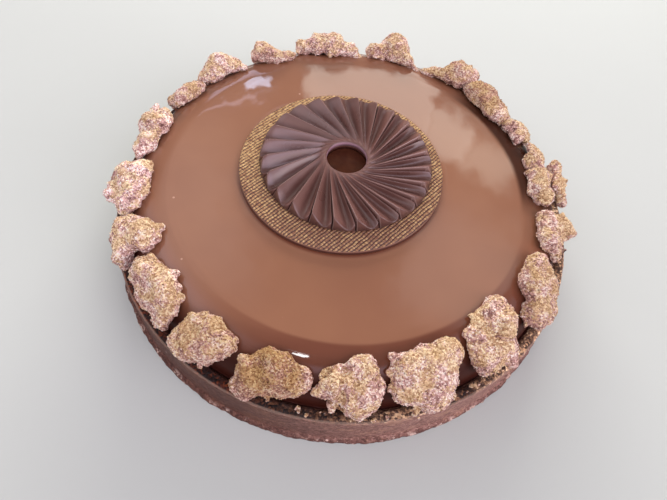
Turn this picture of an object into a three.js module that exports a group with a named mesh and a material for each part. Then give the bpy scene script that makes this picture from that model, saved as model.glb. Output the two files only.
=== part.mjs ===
// A round chocolate tart: a low crust filled with dark chocolate, a domed glaze over it, two chocolate
// discs with a shared hole on top, and a ring of gold-dusted crumble clusters round the glaze.
// Millimetres, +Z up, origin at the middle of the underside, +X to the right of whoever cuts it.
import * as THREE from "three";
import { mergeVertices } from "three/addons/utils/BufferGeometryUtils.js";

const TURN = 2 * Math.PI;
const degrees = THREE.MathUtils.degToRad;

// Left between pieces that touch, so that each stays a body of its own.
const GAP = 0.3;

// The crust: a straight-sided shell with a crumbly foot and a flat rim.
const CRUST = {
  footRadius: 105,
  footHeight: 2.2,
  wallRadius: 103.1,
  rimOuter: 101.8,
  rimInner: 97,
  height: 20.75,
  floor: 4,
  segments: 72,
  footRough: 0.45,
  rimRough: 0.3,
};

// The dark filling inside the crust, which stops below the rim.
const FILLING = { top: 17, segments: 48 };

// The glaze: a flat top that rolls over a soft shoulder and ends inside the rim.
const GLAZE = {
  top: 35.5,
  flatRadius: 76,
  radius: 96.3,
  shoulderFoot: 19.5,
  shoulderPower: 2.2,
  shoulderSteps: 7,
  segments: 72,
};

// The thin disc dusted with gold, and the fluted disc that lies on it.
const GOLD = { x: -3.75, y: 3.2, radius: 44.75, thickness: 2.2, bevel: 0.5, segments: 60 };
const FLUTED = {
  x: -2.15,
  y: 6.06,
  blades: 24,
  holeRadius: 8.8,
  holeRim: 40.6,
  swirlRadius: 8, // each ridge runs straight, on a line that would just touch this circle
  ridgeBearing: 118.2, // where the first ridge ends, anticlockwise from +X
  footRadius: 38,
  flatUntil: 10.5, // the flutes start outside this radius
  rings: [11, 18, 27],
  // Round one blade from its ridge: share of the pitch, height and radius of the blade's end.
  blade: [
    { at: 0, height: 43.2, reach: 35.6 },
    { at: 0.3, height: 42.0, reach: 37.3 },
    { at: 0.62, height: 40.5, reach: 38 },
    { at: 0.86, height: 41.0, reach: 37.8 },
    { at: 0.94, height: 41.7, reach: 36.2 },
  ],
};

// Lumps that lie on the glaze, each with another behind it that reaches down towards the rim.
const backed = (rows) => rows.flatMap(([bearing, distance, height, radius]) => [
  [bearing, distance, height, radius],
  [bearing, Math.min(distance + 7, 97), height - 6, 0.8 * radius],
]);

// The crumble clusters, in order round the tart. Each row is one lump of a cluster: its bearing
// anticlockwise from +X in degrees, its distance from the middle, its height and its radius.
const CLUSTERS = [
  backed([[112.5, 88.5, 36, 4.8], [108, 89.5, 36, 7], [102.5, 87.5, 36, 7.2], [96, 84.5, 35.5, 5]]),
  backed([[88, 86.5, 36, 5.6], [81.5, 95.5, 34.5, 8.2], [79.5, 88, 36, 6.8], [74.5, 84, 36, 4.6]]),
  backed([[67, 84, 35.5, 3.4], [62.5, 86.5, 36, 5], [58, 93, 35, 8], [56, 97, 34, 6], [57, 86.5, 35.5, 6]]),
  backed([[50, 86.5, 36, 6], [47.5, 92.5, 35, 6.6], [42, 91.5, 35, 5.6], [38, 90.5, 35, 3.5],
    [46, 84.5, 36, 5], [41, 85, 36, 5.6], [36, 84.5, 36, 5]]),
  backed([[32, 87, 36, 4.3], [29.5, 91, 34.5, 4.3], [26.5, 85.5, 36, 4.4]]),
  [[23.5, 90.5, 34, 3.8], [17, 87.5, 35.5, 6], [9.5, 85.5, 35.5, 6.4], [3, 86, 35.5, 6.1],
    [13, 92.5, 29.5, 5]],
  [[15.5, 100, 31, 4.7], [10, 98.5, 30, 4.3], [5.5, 97.5, 30, 4.3], [11, 99, 26, 4]],
  [[-7, 86.5, 36, 6], [-5, 94.5, 31, 6.3], [-13, 86.5, 36, 5.9], [-12, 93.5, 30, 4.5],
    [-13.5, 95.5, 28, 3], [-4.5, 99.5, 28.5, 2.5]],
  [[-23, 86, 36, 6.4], [-28.5, 87.5, 36, 6.7], [-24.5, 93.5, 31, 5.6], [-32.5, 95, 30, 7],
    [-28.5, 99, 28, 4]],
  [[-41.5, 84, 36, 7], [-47.5, 80.5, 36, 4.2], [-45.5, 93.5, 31, 7.5], [-51, 92.5, 32, 7.7],
    [-52, 85, 35, 4.3]],
  [[-70.5, 88, 35, 7], [-64, 88, 35, 8.2], [-59, 86, 35, 5.9], [-64.5, 95.5, 30, 8.8],
    [-70.5, 93, 31, 6.5]],
  [[-86.5, 90.5, 33, 6.7], [-80.5, 86.5, 35, 6.3], [-81.5, 94, 31, 7.7], [-78.5, 93.5, 30.5, 5],
    [-81.5, 98.5, 27, 4.3], [-86, 97.5, 26, 2.2]],
  [[-104.5, 95.5, 28.5, 7.5], [-104, 92, 31.5, 4.6], [-99, 91.5, 33, 7.8], [-100.5, 87, 34.5, 3.9],
    [-94, 91.5, 32, 5.7]],
  [[-120.5, 91, 33, 6.3], [-116, 89, 34, 6.2], [-120, 96, 28.5, 7.1], [-115, 93, 31.5, 6.6],
    [-111, 89, 33.5, 4.5]],
  [[-140, 92.5, 32, 6.4], [-135, 89, 34.5, 6.6], [-135, 95, 29, 5.6], [-130, 91, 33.5, 6.5],
    [-128.5, 96.5, 27, 5.5]],
  [[-153, 94, 31, 7.7], [-149.5, 88.5, 34.5, 7.1], [-149.5, 97.5, 28, 6.4], [-147, 86.5, 34.5, 4.2],
    [-149.5, 81.5, 35.5, 1.8]],
  [[-170, 95.5, 31, 7.3], [-170, 89.5, 34.5, 6.4], [-165, 89.5, 34.5, 6.4], [-165.5, 100.5, 29, 4.2],
    [-161.5, 94.5, 29.5, 4.4], [-160.5, 90.5, 33, 4.8]],
  [[167.5, 90, 35, 4.8], [172, 89.5, 35, 5.4], [171, 96, 31.5, 6.1], [178, 89.5, 35, 5.2],
    [181.5, 92.5, 32, 4.2], [175, 97, 28, 4.5]],
  backed([[159, 91, 35, 5.2], [155, 89.5, 35, 5.1], [152, 88.5, 35, 3.8]]),
  backed([[146, 92.5, 35, 4.6], [141, 94, 35, 6.8], [138.5, 90.5, 35.5, 5.8], [145, 89, 35.5, 4.6],
    [134.5, 85.5, 35.5, 2.3]]),
  backed([[127, 90, 36, 6.2], [125, 86.5, 36, 5.9], [120.5, 83.5, 36, 4.5], [117, 83, 35.5, 3.2]]),
];
const CRUMBLE = {
  seat: 0.45, // kept clear of the glaze and the rim
  apart: 0.5, // kept clear of the next cluster
  reach: 104.6, // furthest any lump overhangs the rim
  sag: 0.75, // the underside of a lump hangs lower than a ball's by this ratio
  bump: 0.8, // height of the lumps on its surface
  blend: 1.3, // the lumps run into each other over about this distance
  skin: 0.5, // how far the surface lies inside the balls on average
  grain: 4.2, // and their spacing
  even: 0.25, // how far each corner moves to the mean of its neighbours
  big: 11.2, // a cluster with a mean half-size over this gets the finer net
};

// ---- seeded unevenness ----

// A fixed pseudo-random value from 0 to 1 for a whole-number place.
function hash(i, j, k) {
  let h = Math.imul(i, 374761393) ^ Math.imul(j, 668265263) ^ Math.imul(k, 1440662683);
  h = Math.imul(h ^ (h >>> 13), 1274126177);
  return ((h ^ (h >>> 16)) >>> 0) / 4294967296;
}

// Smooth noise from -1 to 1 that changes over about one unit.
function noise(x, y, z) {
  const cell = [x, y, z].map(Math.floor);
  const [u, v, w] = [x - cell[0], y - cell[1], z - cell[2]].map((t) => t * t * (3 - 2 * t));
  let sum = 0;
  for (const i of [0, 1])
    for (const j of [0, 1])
      for (const k of [0, 1]) {
        const share = (i ? u : 1 - u) * (j ? v : 1 - v) * (k ? w : 1 - w);
        sum += share * hash(cell[0] + i, cell[1] + j, cell[2] + k);
      }
  return 2 * sum - 1;
}

// The same, round a circle: it closes on itself and has about "count" bumps.
const ringNoise = (angle, count, row) =>
  noise((count / TURN) * Math.cos(angle) * 2, (count / TURN) * Math.sin(angle) * 2, row * 7.3);

// ---- bodies ----

const polar = (radius, angle, z, x = 0, y = 0) =>
  [x + radius * Math.cos(angle), y + radius * Math.sin(angle), z];

// A closed body skinned over rings of equally many [x, y, z] points, each ring anticlockwise and the
// rings in order from the underside, up the outside, to the top. "ends" is "capped" where the first and
// last rings close on their middles, or "looped" where the last ring is skinned back to the first.
function ringBody(rings, ends) {
  const count = rings[0].length;
  const points = rings.flat();
  const faces = [];
  const strip = (a, b) => {
    for (let i = 0; i < count; i++) {
      const j = (i + 1) % count;
      faces.push(a + i, a + j, b + j, a + i, b + j, b + i);
    }
  };
  for (let r = 0; r + 1 < rings.length; r++) strip(r * count, (r + 1) * count);
  if (ends === "looped") strip((rings.length - 1) * count, 0);
  else {
    const middle = (ring) =>
      [0, 1, 2].map((axis) => ring.reduce((sum, p) => sum + p[axis], 0) / count);
    const last = (rings.length - 1) * count;
    points.push(middle(rings[0]), middle(rings.at(-1)));
    for (let i = 0; i < count; i++) {
      const j = (i + 1) % count;
      faces.push(points.length - 2, j, i, points.length - 1, last + i, last + j);
    }
  }
  const geometry = new THREE.BufferGeometry();
  geometry.setAttribute("position", new THREE.Float32BufferAttribute(points.flat(), 3));
  geometry.setIndex(faces);
  geometry.computeVertexNormals();
  return geometry;
}

// A ring of points round an axis, its radius and height given as functions of the angle.
function ring(count, radiusAt, heightAt, x = 0, y = 0) {
  return Array.from({ length: count }, (_, i) => {
    const angle = (TURN * i) / count;
    return polar(radiusAt(angle), angle, heightAt(angle), x, y);
  });
}

// ---- the crust and what fills it ----

function crustBody() {
  const { footRadius, footHeight, wallRadius, rimOuter, rimInner, height, floor } = CRUST;
  const wallMiddle = (wallRadius + rimOuter) / 2;
  // Each row: radius, height, how rough the radius is, how rough the height is.
  const profile = [
    [footRadius - 1, 0, CRUST.footRough, 0],
    [footRadius, 0.5, CRUST.footRough, 0],
    [footRadius - 0.2, footHeight - 0.4, CRUST.footRough, 0.2],
    [wallRadius, footHeight + 0.6, 0.15, 0.3],
    [wallMiddle, height / 2, 0.12, 0],
    [rimOuter, height - 0.8, 0.12, 0.1],
    [rimOuter - 0.6, height, CRUST.rimRough, CRUST.rimRough],
    [(rimOuter + rimInner) / 2, height + 0.1, 0, CRUST.rimRough],
    [rimInner, height - 0.3, 0, 0],
    [rimInner, floor, 0, 0],
  ];
  const rings = profile.map(([radius, z, roughRadius, roughHeight], row) =>
    ring(
      CRUST.segments,
      (angle) => radius + roughRadius * ringNoise(angle, 60, row),
      (angle) => z + roughHeight * ringNoise(angle, 45, row + 20),
    ),
  );
  return ringBody(rings, "capped");
}

function fillingBody() {
  const radius = CRUST.rimInner - GAP;
  const level = (z) => ring(FILLING.segments, () => radius, () => z);
  return ringBody([level(CRUST.floor + GAP), level(FILLING.top)], "capped");
}

// How high the glaze stands at a distance from the middle.
function glazeHeight(radius) {
  const out = (radius - GLAZE.flatRadius) / (GLAZE.radius - GLAZE.flatRadius);
  if (out <= 0) return GLAZE.top;
  if (out >= 1) return 0;
  const drop = GLAZE.top - GLAZE.shoulderFoot;
  return GLAZE.shoulderFoot + drop * (1 - out ** GLAZE.shoulderPower) ** (1 / GLAZE.shoulderPower);
}

function glazeBody() {
  const { top, flatRadius, radius, shoulderFoot, shoulderPower, shoulderSteps, segments } = GLAZE;
  const level = (r, z) => ring(segments, () => r, () => z);
  const rings = [level(radius, FILLING.top + GAP), level(radius, shoulderFoot)];
  for (let i = 1; i <= shoulderSteps; i++) {
    const turn = (Math.PI / 2) * (i / shoulderSteps);
    const out = Math.max(0, Math.cos(turn)) ** (2 / shoulderPower);
    const up = Math.sin(turn) ** (2 / shoulderPower);
    rings.push(level(flatRadius + (radius - flatRadius) * out, shoulderFoot + (top - shoulderFoot) * up));
  }
  return ringBody(rings, "capped");
}

// ---- the two discs ----

function goldDiscBody() {
  const { x, y, radius, thickness, bevel, segments } = GOLD;
  const bottom = GLAZE.top + GAP;
  const top = bottom + thickness;
  const outer = (r, z) => ring(segments, () => r, () => z, x, y);
  const hole = (z) => ring(segments, () => FLUTED.holeRadius, () => z, FLUTED.x, FLUTED.y);
  const rings = [
    hole(bottom),
    outer(radius, bottom),
    outer(radius, top - bevel),
    outer(radius - bevel, top),
    hole(top),
  ];
  return ringBody(rings, "looped");
}

// The top of a blade at a distance from the axis: flat by the hole, the full flute at its end.
function fluteHeight(endHeight, radius) {
  const { flatUntil, holeRim, footRadius } = FLUTED;
  const share = THREE.MathUtils.clamp((radius - flatUntil) / (footRadius - 3 - flatUntil), 0, 1);
  return holeRim + (endHeight - holeRim) * share ** 0.8;
}

function flutedDiscBody() {
  const { x, y, blades, holeRadius, swirlRadius, ridgeBearing, footRadius, rings: steps, blade } = FLUTED;
  const bottom = GLAZE.top + GOLD.thickness + 2 * GAP;
  const ridgeEnd = blade[0].reach;
  // How far a ridge has turned, clockwise from its outer end, at a distance from the axis.
  const swirl = (radius) =>
    Math.acos(swirlRadius / ridgeEnd) - Math.acos(Math.min(1, swirlRadius / radius));
  const rays = [];
  for (let i = 0; i < blades; i++)
    for (const station of blade)
      rays.push({ ...station, bearing: degrees(ridgeBearing) + (TURN * (i + station.at)) / blades });
  const along = (radiusOf, heightOf, turned) =>
    rays.map((ray) => {
      const radius = radiusOf(ray);
      return polar(radius, ray.bearing - (turned ? swirl(radius) : 0), heightOf(ray, radius), x, y);
    });
  const rings = [
    along(() => holeRadius, () => bottom, true),
    along(() => footRadius, () => bottom, false),
    along((ray) => ray.reach, (ray) => ray.height - 0.7, false),
    along((ray) => ray.reach - 0.8, (ray) => ray.height, false),
    ...steps.toReversed().map((radius) =>
      along(() => radius, (ray) => fluteHeight(ray.height, radius), true)),
    along(() => holeRadius, () => FLUTED.holeRim - 0.3, true),
  ];
  return ringBody(rings, "looped");
}

// ---- the crumble clusters ----

const lumpsOf = (rows) =>
  rows.map(([bearing, distance, height, radius]) => ({
    middle: new THREE.Vector3(...polar(distance, degrees(bearing), height)),
    radius,
  }));
const CLUSTER_LUMPS = CLUSTERS.map(lumpsOf);

// Distance from a point to the skin of a set of lumps that run into each other, negative inside.
function depthIn(lumps, p) {
  let sum = 0;
  for (const { middle, radius } of lumps) {
    const up = p.z - middle.z;
    const d = Math.hypot(p.x - middle.x, p.y - middle.y, up < 0 ? up * CRUMBLE.sag : up);
    sum += Math.exp((radius - d) / CRUMBLE.blend);
  }
  return -CRUMBLE.blend * Math.log(sum);
}

// Whether a point is in the glaze or the crust, or too near either.
function seated(p) {
  const radius = Math.hypot(p.x, p.y);
  if (p.z < CRUST.height + CRUST.rimRough + CRUMBLE.seat) return true;
  return glazeHeight(radius - CRUMBLE.seat) + CRUMBLE.seat > p.z;
}

function crumbleBody(index) {
  const lumps = CLUSTER_LUMPS[index];
  const count = CLUSTER_LUMPS.length;
  const beside = [-2, -1, 1, 2].flatMap((step) => CLUSTER_LUMPS[(index + step + count) % count]);

  // The cluster's own axes: along the ring, outwards and up, with its half-size on each.
  const weight = lumps.reduce((sum, { radius }) => sum + radius ** 3, 0);
  const core = new THREE.Vector3();
  for (const { middle, radius } of lumps) core.addScaledVector(middle, radius ** 3 / weight);
  const outward = new THREE.Vector3(core.x, core.y, 0).normalize();
  const sideways = new THREE.Vector3(-outward.y, outward.x, 0);
  const upward = new THREE.Vector3(0, 0, 1);
  const half = [sideways, outward, upward].map((axis) => {
    const spans = lumps.map(({ middle, radius }) => [
      middle.clone().sub(core).dot(axis) - radius,
      middle.clone().sub(core).dot(axis) + radius,
    ]);
    return (Math.max(...spans.map((s) => s[1])) - Math.min(...spans.map((s) => s[0]))) / 2;
  });
  core.z += 2.5;

  const { bump, grain, skin, apart, reach, even } = CRUMBLE;
  const inCluster = (p) =>
    depthIn(lumps, p) < bump * noise(p.x / grain, p.y / grain, p.z / grain) - skin &&
    Math.hypot(p.x, p.y) < reach;
  const free = (p) => !seated(p) && depthIn(lumps, p) < depthIn(beside, p) - apart;
  const at = (direction, t) => core.clone().addScaledVector(direction, t);

  // How far a ray runs free of everything, and the furthest point of the cluster on that stretch.
  const measure = (direction) => {
    const step = 0.25;
    let [room, skinAt] = [step, step];
    for (; room < 40 && free(at(direction, room)); room += step)
      if (inCluster(at(direction, room))) skinAt = room;
    return { direction, room: room - step, skinAt };
  };

  const size = Math.cbrt(half[0] * half[1] * half[2]);
  const net = new THREE.IcosahedronGeometry(1, size > CRUMBLE.big ? 4 : 3);
  net.deleteAttribute("normal");
  net.deleteAttribute("uv");
  const body = mergeVertices(net);
  const place = body.getAttribute("position");
  const rays = Array.from({ length: place.count }, (_, i) =>
    measure(
      new THREE.Vector3()
        .addScaledVector(sideways, place.getX(i) * half[0])
        .addScaledVector(outward, place.getY(i) * half[1])
        .addScaledVector(upward, place.getZ(i) * half[2])
        .normalize(),
    ),
  );

  // Each corner is evened out with its neighbours, as far as there is room.
  const faces = body.getIndex();
  const around = rays.map(() => []);
  for (let i = 0; i < faces.count; i += 3)
    for (let k = 0; k < 3; k++)
      around[faces.getX(i + k)].push(rays[faces.getX(i + ((k + 1) % 3))].skinAt);
  rays.forEach(({ direction, room, skinAt }, i) => {
    const mean = around[i].reduce((sum, t) => sum + t, 0) / around[i].length;
    place.setXYZ(i, ...at(direction, Math.min(room, skinAt + even * (mean - skinAt))).toArray());
  });

  // The axes sideways, outward, upward are left-handed, which turns the net's faces inwards.
  for (let i = 0; i < faces.count; i += 3) {
    const second = faces.getX(i + 1);
    faces.setX(i + 1, faces.getX(i + 2));
    faces.setX(i + 2, second);
  }
  body.computeVertexNormals();
  return body;
}

// ---- the tart ----

const finish = (color, roughness, metalness = 0) =>
  new THREE.MeshStandardMaterial({ color, roughness, metalness });
const CRUST_CRUMB = finish("#7a5748", 0.85);
const DARK_CHOCOLATE = finish("#33201a", 0.45);
const MILK_GLAZE = finish("#a56f59", 0.12);
const GOLD_DUST = finish("#a98256", 0.5, 0.3);
const CHOCOLATE = finish("#6d4c49", 0.4);
const GILT_CRUMBLE = finish("#c49c86", 0.7, 0.1);

const tart = new THREE.Group();
tart.name = "chocolate_tart";

function add(name, geometry, material) {
  const mesh = new THREE.Mesh(geometry, material);
  mesh.name = name;
  tart.add(mesh);
}

add("crust", crustBody(), CRUST_CRUMB);
add("filling", fillingBody(), DARK_CHOCOLATE);
add("glazed_dome", glazeBody(), MILK_GLAZE);
add("gold_disc", goldDiscBody(), GOLD_DUST);
add("fluted_disc", flutedDiscBody(), CHOCOLATE);
CLUSTERS.forEach((_, i) => {
  const number = String(i + 1).padStart(2, "0");
  add(`crumble_${number}`, crumbleBody(i), GILT_CRUMBLE);
});

export default tart;
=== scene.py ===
"""A round chocolate tart: a crumbly cocoa crust, a milk chocolate mirror glaze, two moulded chocolate
discs and a ring of gold-dusted crumble clusters. Lengths are in millimetres, and in metres in the
node trees, the panel and the floor."""

import math

import bmesh
import bpy
import numpy as np
from mathutils import Matrix, Vector


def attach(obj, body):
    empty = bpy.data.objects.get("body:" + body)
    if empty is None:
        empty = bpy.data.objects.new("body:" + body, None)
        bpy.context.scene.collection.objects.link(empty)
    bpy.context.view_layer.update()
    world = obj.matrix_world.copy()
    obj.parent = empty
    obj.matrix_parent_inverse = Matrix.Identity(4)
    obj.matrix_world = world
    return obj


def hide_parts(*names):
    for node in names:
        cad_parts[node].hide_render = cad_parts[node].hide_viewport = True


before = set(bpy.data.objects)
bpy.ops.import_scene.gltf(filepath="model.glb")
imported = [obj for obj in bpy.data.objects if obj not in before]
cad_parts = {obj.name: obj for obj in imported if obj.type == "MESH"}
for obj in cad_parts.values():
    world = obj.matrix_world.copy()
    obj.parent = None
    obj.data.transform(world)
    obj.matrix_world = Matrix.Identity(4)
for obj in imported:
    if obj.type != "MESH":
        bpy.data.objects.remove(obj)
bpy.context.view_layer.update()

MM = 0.001
TAU = 2 * math.pi
BODY = "root"


# ---- sizes ----

# The crust's section from the underside, up the outside, over the rim and down the inside.
# Each row: radius, height, how lumpy it is, how crumbly it is.
CRUST_SECTION = (
    (102.5, 0, 0, 0), (104.4, 0.1, 0.35, 0.1), (104.9, 0.7, 0.5, 0.3),
    (104.8, 1.5, 0.5, 0.4), (104.3, 2.1, 0.45, 0.4), (103.3, 2.6, 0.25, 0.25),
    (102.95, 3.6, 0.12, 0.08), (102.4, 10.4, 0.15, 0.06), (101.95, 19.2, 0.12, 0.1),
    (101.75, 20.2, 0.2, 0.25), (101.2, 20.8, 0.3, 0.35), (100.2, 20.95, 0.3, 0.3),
    (98.4, 20.9, 0.3, 0.3), (97.5, 20.6, 0.25, 0.3), (97, 19.9, 0.1, 0.2),
    (97, 17.5, 0, 0), (97, 4, 0, 0),
)
CRUST_STEP = 0.55
CRUST_SEGMENTS = 1100
# The noise of its lumps and crumbs, in layers: height, size and seed.
CRUST_LUMPS = ((0.7, 9, 1), (0.5, 3.5, 2))
CRUST_CRUMBS = ((0.7, 1.7, 3), (0.5, 0.9, 4))

GLAZE = {
    "top": 35.5,
    "crown": 0.35,
    "flat_radius": 76.0,
    "radius": 96.3,
    "edge_radius": 96.9,
    "foot": 17.3,
    "shoulder_foot": 19.5,
    "power": 2.2,
    "shoulder_rings": 36,
    "top_rings": 60,
    "segments": 480,
    "ripple": 0.05,
    "ripple_size": 22,
    "ripple_from": 0.75,  # it starts at this share of the flat radius
}

GOLD_DISC = {
    "x": -3.75,
    "y": 3.2,
    "radius": 44.75,
    "bottom": 35.8,
    "top": 38.0,
    "bevel": 0.6,
    "foot_bevel": 0.3,
    "segments": 240,
}
WEAVE = {"pitch": 0.0014, "turn": 38}  # of its relief, in metres and in degrees
FLUTED_DISC = {
    "x": -2.15,
    "y": 6.06,
    "blades": 24,
    "hole_radius": 8.8,
    "hole_rim": 40.6,
    "bottom": 38.3,
    "swirl_radius": 8.0,
    "ridge_bearing": 118.2,
    "foot_radius": 38.0,
    "flat_until": 10.5,
    "full_from": 35.0,  # from here outwards the flutes have their whole depth
    "lip": 0.7,  # radius of the rounded end of a blade
    "hole_lip": 0.9,
    "scoop": 1.1,  # how deep each blade is hollowed
    "scooped": ((0.05, 0), (0.5, 1), (0.75, 1), (0.92, 0)),  # share of the pitch, share of that depth
    "first_ring": 11.0,
    "rings": 30,
    # Round one blade from its ridge to the next: share of the pitch, height, reach of the blade's end.
    "blade": (
        (0.0, 43.2, 35.5), (0.02, 43.15, 35.8), (0.05, 43.0, 36.1), (0.1, 42.75, 36.4),
        (0.16, 42.4, 36.7), (0.22, 42.0, 36.95), (0.28, 41.5, 37.2), (0.34, 41.05, 37.4),
        (0.4, 40.6, 37.6), (0.46, 40.15, 37.75), (0.52, 39.75, 37.9), (0.58, 39.5, 38.0),
        (0.64, 39.4, 38.0), (0.7, 39.5, 38.0), (0.75, 39.8, 37.9), (0.8, 40.25, 37.7),
        (0.84, 40.7, 37.4), (0.88, 41.1, 37.0), (0.905, 41.25, 36.7), (0.925, 40.6, 36.2),
        (0.94, 39.6, 35.7), (0.955, 39.5, 35.4), (0.972, 40.8, 35.3), (0.988, 42.6, 35.4),
    ),
    "air_bubbles": ((22.1, 5.6, 41.2), (22.5, -1.7, 41.1), (18.6, -7.7, 41.2), (14.2, -12.5, 41.3),
                    (11.2, -5.6, 40.9), (-22.0, 22.1, 42.0), (-19.1, -16.3, 41.0)),
}
AIR_BUBBLE_REACH = 1.0
HOLE_POOL = {"radius": 9.2, "top": 36.1, "depth": 0.6, "hollow": 0.25, "segments": 72, "rings": 12}
GOLD_DISC_HOLE = 9.4
RIM_HEIGHT = 20.8
LIT_SIDE = (0.866, -0.5, 0.0)  # the direction of the side that the painted light leaves lightest
QUARTER_TURN = np.linspace(0, math.pi / 2, 6)  # the steps of a rounded edge

CLUSTERS = sorted(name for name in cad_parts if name.startswith("crumble_"))
CLUSTER_VOXEL = 0.45
CLUSTER_SOFTENING = {"factor": 0.5, "iterations": 6}
CLUSTER_SWELLS = ((6.5, 1.0), (3.4, 0.9))  # size and height of the soft lumps
CLUSTER_CRUMBS = ((2.6, 0.54), (1.2, 0.32), (0.75, 0.2))  # and of the crumbs, which meet in creases
CREASE_LEVEL = 0.27  # the part of a crumb's height that sinks below the surface
NUB_STEPS = (0.4, 1.2, 2.2)  # the balls of a nub lie this many radii inwards
NOTCH_GROWTH = 1.3
NOTCH_DEPTH = 1.5  # the deepest that a notch goes, in radii

# What breaks the outline of the clusters, by the number of the cluster: nubs that stand out, and notches,
# cracks and pits that go in. Each is a ball: x, y, z, radius.
NUBS = {
    1: ((-5.5, 84, 35.8, 3.2), (-19.2, 78.2, 35.8, 2.1), (-31.3, 88.9, 27.3, 1.7), (-2.6, 83.2, 34.6, 1.8),
        (-36.5, 78.8, 35.3, 2.1)),
    2: ((-0.1, 84.7, 34.9, 2.4), (7.1, 84.5, 33.8, 2.4), (24.4, 80.2, 35, 2.6), (26.8, 78.8, 33.6, 1.8)),
    3: ((30.1, 78.6, 35.9, 2.1), (54.9, 82.6, 39.7, 2.1), (42.4, 70, 35.5, 1.5)),
    4: ((73.5, 66.2, 26.7, 2.6),),
    5: ((76.4, 34.4, 35.3, 1.9),),
    6: ((78.5, 25, 35.4, 1.9), (78.3, 16, 36.5, 1.8), (80.5, 4.9, 35.6, 1.8), (83.9, 0.8, 35.1, 1.8)),
    7: ((93.8, 13, 33.2, 2.6),),
    8: ((94.1, -3.2, 35.8, 1.7), (99.7, -9.9, 30.7, 1.5), (91.5, -24.9, 29.5, 1.9), (93, -6.5, 32.8, 3.8)),
    9: ((72.4, -43.4, 35.7, 2.1), (73.9, -54.2, 31.8, 2.1), (75.8, -56.7, 29.6, 1.5), (87.8, -48.5, 30, 2)),
    10: ((51.9, -59.1, 37.5, 2), (52.7, -73.7, 34, 2.2), (69.6, -73, 29.8, 2.2), (59.6, -68.5, 32.4, 4.4)),
    11: ((23.1, -80, 37.5, 2.1), (23.5, -85, 35.4, 2.1), (24.7, -89.4, 32.1, 2.1), (45.8, -70.2, 37.9, 2.1),
         (35.1, -95.2, 27, 0.9)),
    12: ((0.6, -94.4, 31.6, 3.1), (-1.6, -94.8, 30.8, 2.2), (5.4, -97, 27.2, 2.1), (6, -98.7, 26.2, 1),
         (14.9, -99.8, 29.6, 2.7), (21.5, -92, 33.6, 1.7)),
    13: ((-28.4, -87.1, 33.5, 2.3), (-3.8, -89.5, 35.2, 2), (-16.5, -98.4, 26.7, 1)),
    14: ((-48.7, -75.1, 35.9, 2.1), (-43.6, -74, 36.1, 2.1), (-38.8, -76.1, 37.5, 1.8),
         (-29.2, -84.8, 34, 1.4), (-42.2, -90.7, 27.1, 0.7)),
    15: ((-54.5, -65.3, 36.2, 2.4), (-53.8, -69, 33.2, 2.5), (-57.2, -59.8, 36.9, 2.2),
         (-58.4, -78.7, 26.7, 2.2), (-70.3, -54.4, 35.8, 1.9)),
    16: ((-69.3, -40.7, 37.3, 1.2), (-69.8, -46, 36.5, 2.3), (-83.4, -55.2, 24.7, 2),
         (-90.5, -45.7, 32.6, 1.2)),
    17: ((-84.2, -10.9, 37.2, 2.1), (-100.3, -24.9, 31, 1.5), (-83.1, -27.5, 34.4, 1.4),
         (-83.7, -31.1, 33.5, 1.6)),
    18: ((-92, 21.8, 39, 1.4), (-87.5, 21.4, 33.5, 2.8), (-94.3, -2.3, 33.5, 2.2), (-92.4, 8, 34.5, 3.2)),
    20: ((-59.7, 60.2, 36.1, 2),),
    21: ((-38.5, 73.2, 36.2, 2.1), (-50, 67.5, 35.4, 2.1), (-45.4, 68, 35.8, 1.5), (-57.5, 70.2, 32.2, 2.4),
         (-47.5, 74, 39.6, 1.7), (-53, 69.3, 33.4, 2.1)),
}
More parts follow.
